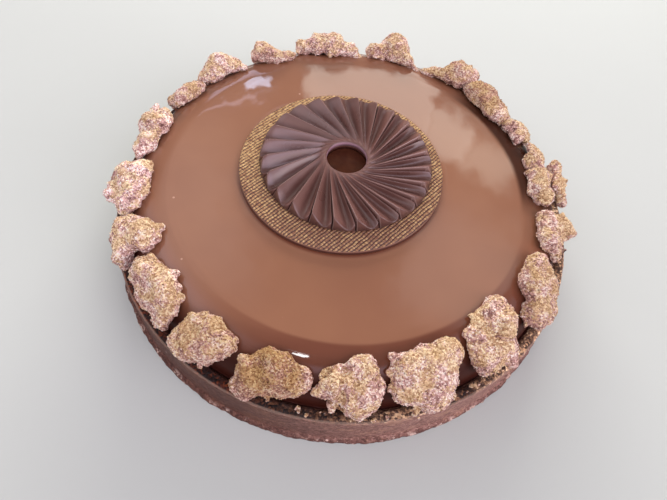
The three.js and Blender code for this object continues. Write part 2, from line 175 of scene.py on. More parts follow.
NOTCHES = {
    1: ((-35.5, 89.2, 41, 3.2), (-11.1, 90.3, 41.3, 2.1)),
    2: ((8.5, 96.7, 39.5, 1.3), (9.1, 87.9, 39.7, 1.1)),
    4: ((72, 63.9, 40.2, 3), (61, 64.6, 41.3, 0.7)),
    5: ((74.1, 40.5, 38.6, 0.9),),
    6: ((86.4, 12.1, 40.8, 0.9), (86.5, 5.9, 41.3, 0.9)),
    7: ((102.4, 16.4, 32.3, 1.8), (95.9, 7.3, 31.9, 0.7)),
    8: ((96, -21, 31.7, 1.7), (81.9, -14.8, 39.2, 0.7)),
    9: ((87.1, -57.1, 27.8, 2.3), (74.3, -47.9, 34.9, 1), (76, -47.9, 36.4, 0.6), (81.6, -39.9, 40.4, 0.6),
        (90.7, -38.9, 33.9, 1.6)),
    10: ((69.6, -51.6, 40.1, 2.2), (53.5, -67.3, 38.8, 1.2), (52.2, -70.4, 38.2, 0.9),
         (52.6, -73.1, 36.6, 0.8), (61.5, -67.1, 38.5, 0.6), (65, -68.9, 38.6, 0.6),
         (63.2, -62.9, 38.5, 0.6)),
    11: ((50.4, -87.7, 32.6, 2.4), (47.8, -92.8, 29.5, 2.4), (24.9, -87.1, 36.1, 0.7),
         (24.7, -83.6, 39.6, 0.5)),
    12: ((1.2, -88, 38, 2.2), (8.5, -99, 26.1, 1.8), (22, -85, 35.8, 1.2), (8.6, -86.2, 38.7, 1.5),
         (8.5, -88.6, 39.5, 1.1), (8.4, -91, 39.7, 1.1), (8.3, -93, 39, 1.1), (8.3, -94.6, 38.1, 1.2),
         (8.5, -96, 36.2, 1.3), (8.7, -97.2, 34.3, 1.5), (8.6, -98.2, 30, 1.7)),
    13: ((-32, -90.9, 30.3, 2.3), (-16.4, -96.9, 36.5, 0.7), (-16.2, -95.5, 38.4, 0.6),
         (-16.7, -97.9, 32.6, 0.7), (-15.6, -93.3, 39.5, 0.5)),
    14: ((-33.7, -91.9, 29, 1.9),),
    15: ((-54.9, -75.8, 31.5, 0.9),),
    16: ((-91.1, -51.2, 29.1, 2.6), (-75.8, -48.5, 40, 0.7), (-73.1, -40.9, 39.3, 1.2)),
    17: ((-102.4, -18.2, 35, 2.5), (-98.6, -20.3, 35.1, 1.5), (-93.1, -9.8, 39.1, 1.5)),
    18: ((-100.6, 18.5, 37.3, 2.3),),
    19: ((-94.4, 36.1, 32.3, 2.4), (-88.6, 37.7, 38.5, 2.4), (-84.4, 41.8, 39.5, 1.9),
         (-82.2, 33, 39.5, 0.8)),
    20: ((-82.3, 55.6, 37.5, 2.5), (-72.5, 47.8, 38.1, 1)),
    21: ((-62, 73.2, 38.2, 3.1),),
}

# Where gold dust lies thick on the clusters: x, y, z, reach.
GOLD_SPOTS = ((84.4, 10.4, 41, 5), (93, -8, 35, 9), (86.1, 1.1, 39, 3.5), (82.4, 40.1, 35, 4),
              (98.5, 17, 33.5, 4), (-27, 91, 40, 4), (-12, 87, 39, 3.5), (44.8, -70.3, 38.5, 4.5),
              (88.5, -44, 37, 5), (53, -60, 39, 4), (-84, -13, 38.5, 4), (-75, -43, 39, 4.5),
              (-37, -78, 38.5, 4))
# Where the rim and the clusters are painted darker, partly as their own uneven baking and partly as painted
# shade: x, y, z, reach and how much, which is less than 0 where they are painted paler.
RIM_SPOTS = ((-3, -99, 20.8, 26, 0.8), (50, -86, 20.8, 14, 0.9), (80, -60, 20.8, 24, -0.5),
             (-24, -96.5, 20.8, 14, -1), (-80, -60, 20.8, 26, -1.1))
TOASTED_AND_SHADED_SPOTS = ((-17, -92, 36, 17, 1.1), (62, 62, 37, 14, 0.9), (44, 76, 37, 13, 0.5),
                 (-41, -81, 34, 17, 0.45), (82, -46, 34, 18, 0.15), (-92, -20, 34, 20, -0.9),
                 (-90, 12, 35, 20, -0.5), (-70, 56, 35, 20, -0.6), (-81, -48, 34, 18, -0.4),
                 (-19, 87, 37, 22, -0.45), (40, -84, 35, 20, -0.2), (61, -62, 35, 20, -0.2))

# The camera: its place, how it is turned in radians, and its lens in pixels of an image this wide.
CAMERA = {
    "place": (0.0, -139.41, 196.803),
    "pitch": 1.015085,
    "yaw": -0.016851,
    "roll": 0.135805,
    "focal_pixels": 479.31,
    "image_width": 667,
}

# The room round the tart, which lights it. Each soft-edged patch: the bearing of its middle from the back
# towards the right, its elevation, half its width, half its height and the softness of its edges in
# degrees, then its colour and its radiance.
ROOM = {
    "window": (-21.8, 25, 6.6, 8.5, 1.0, (0.8, 0.74, 1.0), 1.7),
    "window_bright": (-14.6, 34.0, 1.7, 2.4, 0.6, (0.76, 0.72, 1.0), 1.9),
    "window_high": (-15.4, 38.3, 2.0, 0.9, 0.4, (0.66, 0.76, 1.0), 6.5),
    "window_frame": (-21, 40.5, 6, 0.35, 0.3, (0.9, 0.8, 1.0), 1.8),
    "ceiling": (1.25, 40.7, 9.75, 4.4, 0.6, (1.0, 0.985, 0.89), 2.3),
    "ceiling_middle": (14.5, 41.8, 3.5, 2.6, 1.0, (1.0, 0.985, 0.87), 2.3),
    "ceiling_end": (22.5, 42.6, 4.5, 2.1, 1.6, (1.0, 0.98, 0.84), 1.7),
    "ceiling_strip": (7.2, 29, 2.2, 7.5, 0.6, (1.0, 0.95, 0.85), 1.9),
    "right_wall": (38, 56, 22, 7, 4, (1.0, 0.96, 0.92), 0.75),
    "left_wall": (-42, 53, 22, 10, 8, (1.0, 0.93, 0.9), 0.75),
    "side_window": (-100, 42, 36, 20, 14, (0.95, 0.86, 0.98), 1.3),
    "right_window": (114, 20, 20, 13, 6, (1.0, 0.9, 0.95), 3.4),
    "right_side": (100, 40, 22, 22, 10, (0.9, 0.82, 1.0), 0.9),
    "sky_behind": (150, 47, 46, 14, 8, (0.88, 0.78, 0.98), 2.9),
    "behind": (-145, 35, 30, 14, 10, (1.0, 0.95, 0.92), 0.5),
    "lamp": (-155, 78.7, 8, 2.2, 1.0, (1.0, 1.0, 1.0), 22.0),
}
ROOM_COLOUR = (0.98, 0.93, 0.89)
ROOM_RADIANCE = 0.29
ROOM_RAGGEDNESS = 0.07  # how far noise bends the edges of the patches
BACKDROP_RADIANCE = 0.8

# A low soft panel behind the tart, with its lengths in metres.
BACK_PANEL = {
    "bearing": -2,
    "elevation": 18,
    "distance": 1.2,
    "width": 0.96,
    "height": 0.29,
    "colour": (1.0, 0.95, 0.9),
    "radiance": 24.0,
}
FLOOR_HALF = 2.5  # half the width of the floor in metres

# Crumbs that fell on the rim: x, y, size.
LOOSE_CRUMBS = ((-5.5, -98.8, 1.3), (26.4, -96.9, 0.9), (21.5, -99, 1.2), (36.1, -94.4, 1.2),
                (37.5, -95.4, 0.7), (57.4, -80.5, 1.2), (-50, -86.2, 1), (-43.3, -88.9, 0.8),
                (-2.2, -100.2, 0.7), (2.4, -98.4, 0.6), (13.4, -99.8, 0.6), (-66.9, -73.9, 1),
                (-70.5, -69, 0.8), (60.1, -79.5, 0.8), (55.6, -83, 0.6))


# ---- numbers and meshes ----

def linear(hex_colour):
    """A colour such as "#a56f59" as linear red, green, blue and alpha."""
    channels = [int(hex_colour[i : i + 2], 16) / 255 for i in (1, 3, 5)]
    return [c / 12.92 if c <= 0.04045 else ((c + 0.055) / 1.055) ** 2.4 for c in channels] + [1.0]


def noise(points, size, seed=0):
    """Smooth noise from -1 to 1 at each of the points, which changes over about "size" millimetres."""
    place = np.asarray(points, float) / size + 17.31 * seed
    cell = np.floor(place).astype(np.int64)
    share = place - cell
    share = share * share * (3 - 2 * share)
    total = 0.0
    for corner in np.ndindex(2, 2, 2):
        i, j, k = np.moveaxis(cell + corner, -1, 0)
        h = (i * 374761393 ^ j * 668265263 ^ k * 1440662683) & 0xFFFFFFFF
        h = ((h ^ (h >> 13)) * 1274126177) & 0xFFFFFFFF
        weight = np.prod(np.where(corner, share, 1 - share), axis=-1)
        total = total + weight * ((h ^ (h >> 16)) / 0xFFFFFFFF)
    return 2 * total - 1


def resampled(rows, step):
    """The rows of a section (radius, height, ...) spaced evenly along it."""
    rows = np.array(rows, float)
    along = np.concatenate([[0], np.cumsum(np.hypot(*np.diff(rows[:, :2], axis=0).T))])
    places = np.linspace(0, along[-1], round(along[-1] / step) + 1)
    return np.column_stack([np.interp(places, along, column) for column in rows.T])


def layered_noise(points, layers):
    """The sum of layers of noise. Each layer is its height, its size and its seed."""
    return sum(height * noise(points, size, seed) for height, size, seed in layers)


def polar(radius, angle, height, x=0.0, y=0.0):
    """Points from radii, angles and heights that broadcast together."""
    radius, angle, height = np.broadcast_arrays(radius, angle, height)
    return np.stack([x + radius * np.cos(angle), y + radius * np.sin(angle), height], axis=-1)


def ring_faces(rings, count, looped):
    """Quads between rings of equally many points, and back to the first ring if looped."""
    start = np.arange(rings if looped else rings - 1)[:, None] * count
    after = (start + count) % (rings * count)
    here = np.arange(count)[None, :]
    there = (here + 1) % count
    return np.stack([start + here, start + there, after + there, after + here], axis=-1).reshape(-1, 4)


def skinned(name, rings, material, slot, *nodes, capped=False):
    """A finished piece over rings of points: a loop of rings, or capped where the first and last end."""
    count = rings.shape[1]
    points = rings.reshape(-1, 3)
    faces = ring_faces(len(rings), count, looped=not capped).tolist()
    if capped:
        last = len(points) - count
        points = np.vstack([points, rings[0].mean(0), rings[-1].mean(0)])
        for i in range(count):
            j = (i + 1) % count
            faces.append((len(points) - 2, j, i))
            faces.append((len(points) - 1, last + i, last + j))
    mesh = bpy.data.meshes.new(name)
    mesh.from_pydata(points * MM, [], faces)
    mesh.shade_smooth()
    mesh.materials.append(material)
    finished(placed(bpy.data.objects.new(name, mesh)), slot, *nodes)


def placed(piece):
    bpy.context.scene.collection.objects.link(piece)
    return piece


def finished(piece, slot, *nodes):
    """The piece rides on the tart and stands for the nodes, which it hides. The slot is not used."""
    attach(piece, BODY)
    if nodes:
        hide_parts(*nodes)


# ---- node trees ----

class Value:
    """What comes out of a node. Sums, products and the like of such values add nodes to its tree."""

    def __init__(self, socket):
        self.socket = socket
        self.tree = socket.id_data

    def __add__(self, other):
        return maths("ADD", self, other)

    def __sub__(self, other):
        return maths("SUBTRACT", self, other)

    def __rsub__(self, other):
        return maths("SUBTRACT", other, self)

    def __mul__(self, other):
        return maths("MULTIPLY", self, other)

    def __truediv__(self, other):
        return maths("DIVIDE", self, other)

    def __rtruediv__(self, other):
        return maths("DIVIDE", other, self)

    def __abs__(self):
        return maths("ABSOLUTE", self)


class Outputs:
    """What comes out of a node, by name or number."""

    def __init__(self, node):
        self.node = node

    def __getitem__(self, key):
        return Value(self.node.outputs[key])


def feed(node, inputs):
    """Sets or links a node's inputs, by name or number. A text is a colour."""
    for key, value in inputs.items():
        if isinstance(value, Value):
            value.tree.links.new(value.socket, node.inputs[key])
        else:
            node.inputs[key].default_value = linear(value) if isinstance(value, str) else value


def add(kind, inputs, tree=None, **settings):
    """Adds a node to the given tree, or else to the one that its inputs come from."""
    if tree is None:
        tree = next(value.tree for value in inputs.values() if isinstance(value, Value))
    node = tree.nodes.new(kind)
    for key, value in settings.items():
        setattr(node, key, value)
    feed(node, inputs)
    return Outputs(node)


def new_group(name, inputs, outputs, kind="ShaderNodeTree"):
    """A node group's tree, what it is given and its output. Inputs are numbers or socket types."""
    tree = bpy.data.node_groups.new(name, kind)
    for key, start in inputs.items():
        is_number = isinstance(start, float)
        socket = tree.interface.new_socket(key, in_out="INPUT", socket_type=FLOAT if is_number else start)
        if is_number:
            socket.default_value = start
    for key, socket_type in outputs.items():
        tree.interface.new_socket(key, in_out="OUTPUT", socket_type=socket_type)
    return tree, Outputs(tree.nodes.new("NodeGroupInput")), tree.nodes.new("NodeGroupOutput")


def maths(operation, *inputs, clamp=False):
    return add("ShaderNodeMath", dict(enumerate(inputs)), operation=operation, use_clamp=clamp)[0]


def vector_maths(operation, *inputs):
    """A vector, or a number where the operation gives a length, a distance or a dot product."""
    outputs = add("ShaderNodeVectorMath", dict(enumerate(inputs)), operation=operation)
    return outputs["Value" if operation in ("LENGTH", "DISTANCE", "DOT_PRODUCT") else "Vector"]


def parts(vector):
    """The X, Y and Z of a vector."""
    split = add("ShaderNodeSeparateXYZ", {"Vector": vector})
    return [split[axis] for axis in "XYZ"]


def eased(value, low, high, start=0.0, end=1.0):
    """Runs softly from start, where the value is low, to end, where it is high."""
    return add("ShaderNodeMapRange", {"Value": value, "From Min": low, "From Max": high, "To Min": start,
                                      "To Max": end}, interpolation_type="SMOOTHSTEP")["Result"]


def fading(value, low, high):
    """Runs softly from 1, where the value is low, to 0, where it is high."""
    return eased(value, low, high, 1.0, 0.0)


def mixed(share, a, b):
    """Colour a where share is 0, and b where it is 1."""
    return add("ShaderNodeMix", {0: share, 6: a, 7: b}, data_type="RGBA")[2]


def multiplied(share, colour, tint):
    """The colour where share is 0, and the colour times the tint where it is 1.

    A share over 1 goes further, and one under 0 goes the other way.
    """
    times = add("ShaderNodeMix", {0: share, 6: "#ffffff", 7: tint}, data_type="RGBA", clamp_factor=False)[2]
    return add("ShaderNodeMix", {0: 1.0, 6: colour, 7: times}, data_type="RGBA", blend_type="MULTIPLY")[2]


def effect(group, place, **inputs):
    """What a shader node group puts out at these coordinates."""
    return add("ShaderNodeGroup", {"Vector": place, **inputs}, node_tree=group)


def fine_noise(place, size, detail=2.0):
    return add("ShaderNodeTexNoise", {"Vector": place, "Scale": 1 / size, "Detail": detail})["Fac"]


def cells_of(place, scale):
    """The distance to the middle of a cell, and three random values for each cell."""
    cells = add("ShaderNodeTexVoronoi", {"Vector": place, "Scale": scale})
    split = add("ShaderNodeSeparateColor", {"Color": cells["Color"]})
    return cells["Distance"], [split[channel] for channel in range(3)]


FLOAT, VECTOR, COLOUR, GEOMETRY = ("NodeSocket" + kind for kind in ("Float", "Vector", "Color", "Geometry"))


def grain_group():
    """Packed grains: how high each stands, and a random value for each."""
    tree, given, result = new_group("Grain", {"Vector": VECTOR, "Size": 0.001, "Warp": 0.5},
                                    {"Height": FLOAT, "Random": FLOAT})
    scale = 1.0 / given["Size"]
    wobble = add("ShaderNodeTexNoise", {"Vector": given["Vector"], "Scale": scale})["Color"]
    centred = vector_maths("SUBTRACT", wobble, (0.5, 0.5, 0.5))
    reach = given["Size"] * given["Warp"]
    moved = add("ShaderNodeVectorMath", {"Vector": centred, "Scale": reach}, operation="SCALE")["Vector"]
    away, randoms = cells_of(vector_maths("ADD", given["Vector"], moved), scale)
    feed(result, {"Height": maths("SUBTRACT", 1.0, away, clamp=True), "Random": randoms[0]})
    return tree


def dusting_group():
    """Dust in uneven patches: thick in the middle of a patch, broken into specks at its edge."""
    tree, given, result = new_group(
        "Dusting", {"Vector": VECTOR, "Patch": 0.008, "Speck": 0.0008, "Cover": 0.5, "Seed": 0.0},
        {"Mask": FLOAT})
    patches = add("ShaderNodeTexNoise", {
        "Vector": given["Vector"], "W": given["Seed"], "Scale": 1.0 / given["Patch"], "Detail": 2.0,
    }, noise_dimensions="4D")["Fac"]
    both = patches * 1.3 + fine_noise(given["Vector"], given["Speck"], 1.0) * 0.7
    edge = 1.5 - given["Cover"]
    feed(result, {"Mask": eased(both - edge, -0.08, 0.12)})
    return tree


def flecks_group():
    """Small separate specks, one in some of the cells."""
    tree, given, result = new_group(
        "Flecks", {"Vector": VECTOR, "Spacing": 0.004, "Size": 0.2, "Share": 0.3}, {"Mask": FLOAT})
    away, randoms = cells_of(given["Vector"], 1.0 / given["Spacing"])
    chosen = maths("LESS_THAN", randoms[1], given["Share"])
    size = given["Size"] * (randoms[2] + 0.4)
    feed(result, {"Mask": fading(away / size, 0.6, 1.0) * chosen})
    return tree


def mottle_group():
    """Two colours that run into each other in soft patches."""
    tree, given, result = new_group(
        "Mottle", {"Vector": VECTOR, "Patch": 0.01, "Contrast": 0.15, "First": COLOUR, "Second": COLOUR},
        {"Color": COLOUR, "Fac": FLOAT})
    patches = fine_noise(given["Vector"], given["Patch"], 3.0)
    share = eased(patches, 0.5 - given["Contrast"], given["Contrast"] + 0.5)
    feed(result, {"Color": mixed(share, given["First"], given["Second"]), "Fac": share})
    return tree


GRAIN = grain_group()
DUSTING = dusting_group()
FLECKS = flecks_group()
MOTTLE = mottle_group()


# ---- materials, whose lengths are in metres ----

def new_material(name, **constants):
    """A material, its shader and the object's own coordinates."""
    material = bpy.data.materials.new(name)
    material.use_nodes = True
    shader = material.node_tree.nodes["Principled BSDF"]
    feed(shader, {key.replace("_", " "): value for key, value in constants.items()})
    return material, shader, add("ShaderNodeTexCoord", {}, material.node_tree)["Object"]


def stretched(place, up):
    """Coordinates that change this much faster with height. At 0 they don't change with height at all."""
    return add("ShaderNodeMapping", {"Vector": place, "Scale": (1, 1, up)})[0]


def bumped(shader, height, depth):
    bump = add("ShaderNodeBump", {"Height": height, "Distance": depth, "Strength": 1.0})
    feed(shader, {"Normal": bump[0]})


def near_to(place, middle, reach):
    """1 at the middle of a spot and 0 beyond its reach, both in millimetres."""
    away = vector_maths("DISTANCE", place, tuple(c * MM for c in middle))
    return fading(away, 0.5 * reach * MM, reach * MM)


def ramp(value, *stops):
    """A colour that runs through stops of (position, colour)."""
    made = add("ShaderNodeValToRGB", {"Fac": value})
    elements = made.node.color_ramp.elements
    for element, (position, colour) in zip(elements, (stops[0], stops[-1])):
        element.position = position
        element.color = linear(colour)
    for position, colour in stops[1:-1]:
        elements.new(position).color = linear(colour)
    return made["Color"]


def mottled_material(name, patch, contrast, first, second, **constants):
    """A material in two soft tones, its shader and the object's own coordinates."""
    material, shader, place = new_material(name, **constants)
    tones = effect(MOTTLE, place, Patch=patch, Contrast=contrast, First=first, Second=second)
    feed(shader, {"Base Color": tones["Color"]})
    return material, shader, place


def crumble_material():
    material, shader, place = new_material("gilt crumble", Roughness=0.75, IOR=1.4)
    grain = effect(GRAIN, place, Size=0.0006, Warp=0.6)
    fine = fine_noise(place, 0.0004)
    broad = fine_noise(place, 0.0024) * 0.4 + fine_noise(place, 0.006) * 0.45
    tone = fine * 0.35 + broad + grain["Random"] * 0.42
    crumb = ramp(tone, (0.51, "#6a453e"), (0.7, "#b2857b"), (0.87, "#e1b8aa"), (1.0, "#fff0e2"))
    upward = parts(add("ShaderNodeTexCoord", {}, material.node_tree)["Normal"])[2]
    cover = eased(upward, -0.3, 0.95, 0.24, 0.58)
    for *middle, reach in GOLD_SPOTS:
        cover = cover + near_to(place, middle, reach) * 0.45
    dust = effect(DUSTING, place, Patch=0.0055, Speck=0.0006, Cover=cover)["Mask"]
    gold = mixed(grain["Random"], "#b3864c", "#ffe6a2")
    colour = mixed(dust * 0.6, crumb, gold)
    # Spots painted darker, partly the clusters' own toasting and partly painted shade; below 0 they are
    # painted paler.
    for *middle, reach, strength in TOASTED_AND_SHADED_SPOTS:
        colour = multiplied(near_to(place, middle, reach) * strength, colour, "#dcd0bd")
    # Pits between the crumbs, painted dark: painted shade in them.
    pits = effect(FLECKS, place, Spacing=0.0021, Size=0.17, Share=0.16)["Mask"]
    feed(shader, {"Base Color": mixed(pits * 0.5, colour, "#54352c"), "Metallic": dust * 0.25,
                  "Roughness": eased(dust, 0, 1, 0.8, 0.5)})
    bumped(shader, grain["Height"] + fine - pits, 0.0004)
    return material


def crust_material():
    material, shader, place = new_material("baked cocoa crust", Roughness=0.65, IOR=1.4)
    height = parts(place)[2]
    layered = stretched(place, 2.2)
    grain = effect(GRAIN, layered, Size=0.0009, Warp=0.7)
    side = effect(MOTTLE, layered, Patch=0.008, Contrast=0.3, First="#70493d", Second="#8f6456")
    side_tone = grain["Random"] * 0.5 + fine_noise(layered, 0.0016, 3.0) * 0.6
    sandy = ramp(side_tone, (0.3, "#4b312b"), (0.5, "#805950"), (0.7, "#a47b70"), (0.92, "#d3ab98"))
    colour = mixed(0.6, side["Color"], sandy)
    tan = effect(DUSTING, layered, Patch=0.012, Speck=0.0012, Cover=0.36)["Mask"]
    colour = mixed(tan * 0.4, colour, "#b98c70")
    flat_place = stretched(place, 0.0)
    out = vector_maths("LENGTH", flat_place)
    # Painted light and shade: the crust and its rim are painted lighter on the right-front side, where the
    # light falls, and darker round the rest.
    painted_side_shade = eased(vector_maths("DOT_PRODUCT", flat_place, LIT_SIDE) / out, 0.2, 0.85, 1.1, -0.4)
    colour = multiplied(painted_side_shade, colour, "#b9aaa4")
    rim_tone = grain["Random"] * 0.5 + fine_noise(place, 0.0022, 3.0) * 0.6
    rim = ramp(rim_tone, (0.36, "#3a241b"), (0.55, "#644a38"), (0.7, "#a67d5c"), (0.9, "#ffdfb2"))
    # Spots painted darker, partly the rim's own baking and partly painted shade under the clusters; below 0
    # they are painted paler.
    for *middle, reach, strength in RIM_SPOTS:
        rim = multiplied(near_to(place, middle, reach) * strength, rim, "#7a5846")
    on_rim = eased(height, 0.0199, 0.0206)
    colour = mixed(on_rim, colour, multiplied(painted_side_shade, rim, "#85655a"))
    # Painted shade along the rim's inner edge, under the clusters.
    painted_inner_shade = fading(out, 0.0974, 0.0992) * 0.7
    colour = mixed(painted_inner_shade * on_rim, colour, "#3d2118")
    # A painted highlight along the rim's outer top edge.
    edge = eased(height, 0.0196, 0.0202) * eased(out, 0.1009, 0.1014)
    colour = mixed(edge * 0.22, colour, "#e0bda6")
    at_foot = fading(height, 0.0016, 0.0028)
    shaded = at_foot * fading(painted_side_shade, -0.1, 0.9)
    colour = multiplied(shaded, colour, "#bdaeac")
    specks = effect(FLECKS, stretched(place, 2.0), Spacing=0.0055, Size=0.12, Share=0.14)["Mask"]
    pale = effect(DUSTING, place, Patch=0.004, Speck=0.0009, Cover=0.37, Seed=3.0)["Mask"]
    pale_mask = maths("MAXIMUM", specks, pale * at_foot)
    feed(shader, {"Base Color": mixed(pale_mask * 0.85, colour, "#e4c6b6")})
    bumped(shader, grain["Height"] + side["Fac"] * 0.6, 0.0003)
    return material


def filling_material():
    material, shader, place = mottled_material("dark chocolate filling", 0.012, 0.2, "#2c1a15", "#42271e",
                                               Roughness=0.6, IOR=1.5, Specular_IOR_Level=0.2)
    bumped(shader, fine_noise(place, 0.002), 0.0002)
    return material


def mirror_glaze_material():
    """Glossy milk chocolate with soft sag lines round it, painted darker towards its foot, on its front and
    right shoulders and by the gold disc's near edge as painted shade.
    """
    material, shader, place = new_material("milk chocolate glaze", Roughness=0.08, IOR=1.48,
                                           Specular_IOR_Level=0.12, Coat_IOR=1.58, Coat_Roughness=0.015)
    x, y, height = parts(place)
    colour = effect(MOTTLE, place, Patch=0.045, Contrast=0.3, First="#90644a", Second="#865a43")["Color"]
    flat_place = stretched(place, 0.0)
    out = vector_maths("LENGTH", flat_place)
    # Painted shade: the shoulder is painted darker on the front, which faces away from the light.
    near_side = x * 0.4 - y
    painted_front_shade = eased(out, 0.077, 0.0786) * eased(near_side, 0.045, 0.08, 0.1, 0.92)
    colour = mixed(painted_front_shade, colour, "#6a3b2a")
    # A painted shadow and painted dark reflection on the right-back shoulder, beside the clusters.
    far_side = (x * 0.906 + y * 0.423) / out
    painted_right_shadow = eased(out, 0.0748, 0.0775) * eased(far_side, 0.84, 0.95)
    colour = mixed(painted_right_shadow * 0.92, colour, "#371c12")
    # Painted shade: the glaze is painted darker towards its foot, between the clusters.
    colour = mixed(fading(height, 0.0285, 0.0352), colour, "#3d1911")
    # A painted shadow in the glaze just in front of the gold disc's edge.
    from_disc = vector_maths("DISTANCE", flat_place, (GOLD_DISC["x"] * MM, GOLD_DISC["y"] * MM, 0.0))
    painted_disc_shadow = eased(from_disc, 0.0449, 0.0466, 0.7, 0.0) * fading(y, -0.02, 0.005)
    colour = mixed(painted_disc_shadow, colour, "#5e2d1f")
    bubbles = effect(FLECKS, place, Spacing=0.009, Size=0.05, Share=0.35)["Mask"]
    at_foot = fading(height, 0.0322, 0.035)
    bare = maths("MAXIMUM", at_foot * 0.95, painted_right_shadow * 0.7)
    feed(shader, {"Base Color": mixed(bubbles * 0.45, colour, "#d8b09a"), "Coat Weight": 1.0 - bare,
                  "Roughness": eased(at_foot, 0, 1, 0.08, 0.5)})
    ring = add("ShaderNodeCombineXYZ", {"X": out * 6.0, "Y": x, "Z": y})[0]
    sag = fine_noise(ring, 0.022, 1.0) * eased(out, 0.066, 0.078)
    climb = maths("POWER", fading(from_disc, 0.0445, 0.0482), 1.5)
    relief = fine_noise(place, 0.03, 1.0) + fine_noise(place, 0.008) * 0.3 + sag * 0.9 + climb * 1.8
    bumped(shader, relief + bubbles * 0.25, 0.0002)
    return material


def pool_material():
    # A pool of glaze, painted darker than the dome's glaze: painted shade in the deep hole.
    material, shader, place = mottled_material("dark glaze", 0.008, 0.25, "#54301f", "#3f2016",
                                               Roughness=0.2, IOR=1.48, Specular_IOR_Level=0.06)
    bumped(shader, fine_noise(place, 0.004, 1.0), 0.0001)
    return material


def gold_disc_material():
    """Dark chocolate with a fine woven relief on top, whose raised threads hold the gold."""
    material, shader, place = new_material("gold-dusted chocolate", Roughness=0.4, IOR=1.5)
    x, y, height = parts(place)
    wander = add("ShaderNodeTexNoise", {"Vector": place, "Scale": 320.0, "Detail": 1.0})["Color"]
    bent = vector_maths("MULTIPLY_ADD", wander, (0.0009, 0.0009, 0.0), place)
    threads = 1 / WEAVE["pitch"]
    turned = add("ShaderNodeMapping", {"Vector": bent, "Rotation": (0, 0, math.radians(WEAVE["turn"])),
                                       "Scale": (threads, threads, 0.0)})[0]
    strong, faint = [abs(maths("SINE", across * math.pi)) for across in parts(turned)[:2]]
    weave = strong * (faint * 0.55 + 0.45)
    top = GOLD_DISC["top"] * MM
    on_top = eased(height, top - 0.00025, top - 0.00005)
    grit = effect(GRAIN, place, Size=0.0008, Warp=0.8)
    # Painted sheen: the gold is painted thicker towards the back and the left, where the light falls; the
    # weave and grit give the gold's own uneven cover.
    to_side = x * -2.0 + y * 6.0
    lit = weave * 0.9 + grit["Random"] * 0.4 + (fine_noise(place, 0.012, 3.0) * 0.6 + to_side)
    gold_and_sheen_mask = eased(lit, 0.6, 1.5) * on_top
    gold = mixed(grit["Random"], "#a3754e", "#e4c18a")
    groove = mixed(eased(weave, 0.05, 0.5), "#38211b", "#7d5340")
    # The rounded top edge is painted lighter than the dark side below it: a painted highlight.
    side = mixed(eased(height, 0.0373, 0.0376) * 0.8, "#5a342a", "#96705f")
    feed(shader, {"Base Color": mixed(gold_and_sheen_mask, mixed(on_top, side, groove), gold),
                  "Metallic": gold_and_sheen_mask * 0.4, "Roughness": eased(gold_and_sheen_mask, 0, 1, 0.42, 0.5)})
    bumped(shader, (weave + grit["Height"] * 0.3) * on_top, 0.0003)
    return material


def blade_phase(place):
    """Where a point lies from one blade's ridge, at 0, to the next one's, at 1, and how far out it lies."""
    disc = FLUTED_DISC
    away = vector_maths("SUBTRACT", stretched(place, 0.0), (disc["x"] * MM, disc["y"] * MM, 0.0))
    out = vector_maths("LENGTH", away)
    x, y, _ = parts(away)
    swirl, end = disc["swirl_radius"], disc["blade"][0][2]
    reach = maths("ARCCOSINE", maths("DIVIDE", swirl * MM, maths("MINIMUM", out, end * MM), clamp=True))
    turned = math.acos(swirl / end) - math.radians(disc["ridge_bearing"]) - reach
    bearing = maths("ARCTAN2", y, x) + turned
    return maths("FLOORED_MODULO", bearing / (TAU / disc["blades"]), 1.0), out


def moulded_material():
    material, shader, place = new_material("moulded chocolate", Roughness=0.3, IOR=1.5, Coat_Roughness=0.2)
    tones = effect(MOTTLE, place, Patch=0.012, Contrast=0.25, First="#65443d", Second="#735048")
    holes = effect(FLECKS, place, Spacing=0.0085, Size=0.05, Share=0.16)["Mask"]
    for bubble in FLUTED_DISC["air_bubbles"]:
        holes = maths("MAXIMUM", holes, near_to(place, bubble, AIR_BUBBLE_REACH))
    height = parts(place)[2]
    # Painted shade: the low troughs of the blades are painted darker.
    deep = fading(height, 0.0395, 0.0412)
    colour = mixed(deep * 0.42, tones["Color"], "#3a2420")
    phase, out = blade_phase(place)
    beyond_hole = eased(out, 0.011, 0.017)
    # A painted shadow: the dark line at the foot of each blade's next ridge.
    groove = eased(abs(phase - 0.945), 0.008, 0.03, 0.75, 0.0)
    colour = mixed(groove * beyond_hole, colour, "#281512")
    # A painted highlight along each blade's ridge.
    ridge = eased(maths("PINGPONG", phase, 0.5), 0.006, 0.026, 0.5, 0.0)
    colour = mixed(ridge * beyond_hole, colour, "#b89a92")
    # A painted sheen: the upper wall of the hole is painted light lavender.
    wall = fading(out, 0.0093, 0.0098) * fading(height, 0.0398, 0.0404)
    colour = mixed(wall, colour, "#b08c98")
    # The air holes are painted near-black: painted shade inside them.
    feed(shader, {"Base Color": mixed(holes, colour, "#1d0f0c"),
                  "Coat Weight": eased(deep, 0, 1, 0.5, 0.15),
                  "Roughness": eased(tones["Fac"], 0, 1, 0.27, 0.36)})
    bumped(shader, fine_noise(place, 0.0012) * 0.2 - holes, 0.0002)
    return material


def floor_material():
    return mottled_material("pale floor", 0.3, 0.4, "#c0c6c0", "#bac0ba", Roughness=0.7)[0]


# ---- the tart's pieces ----

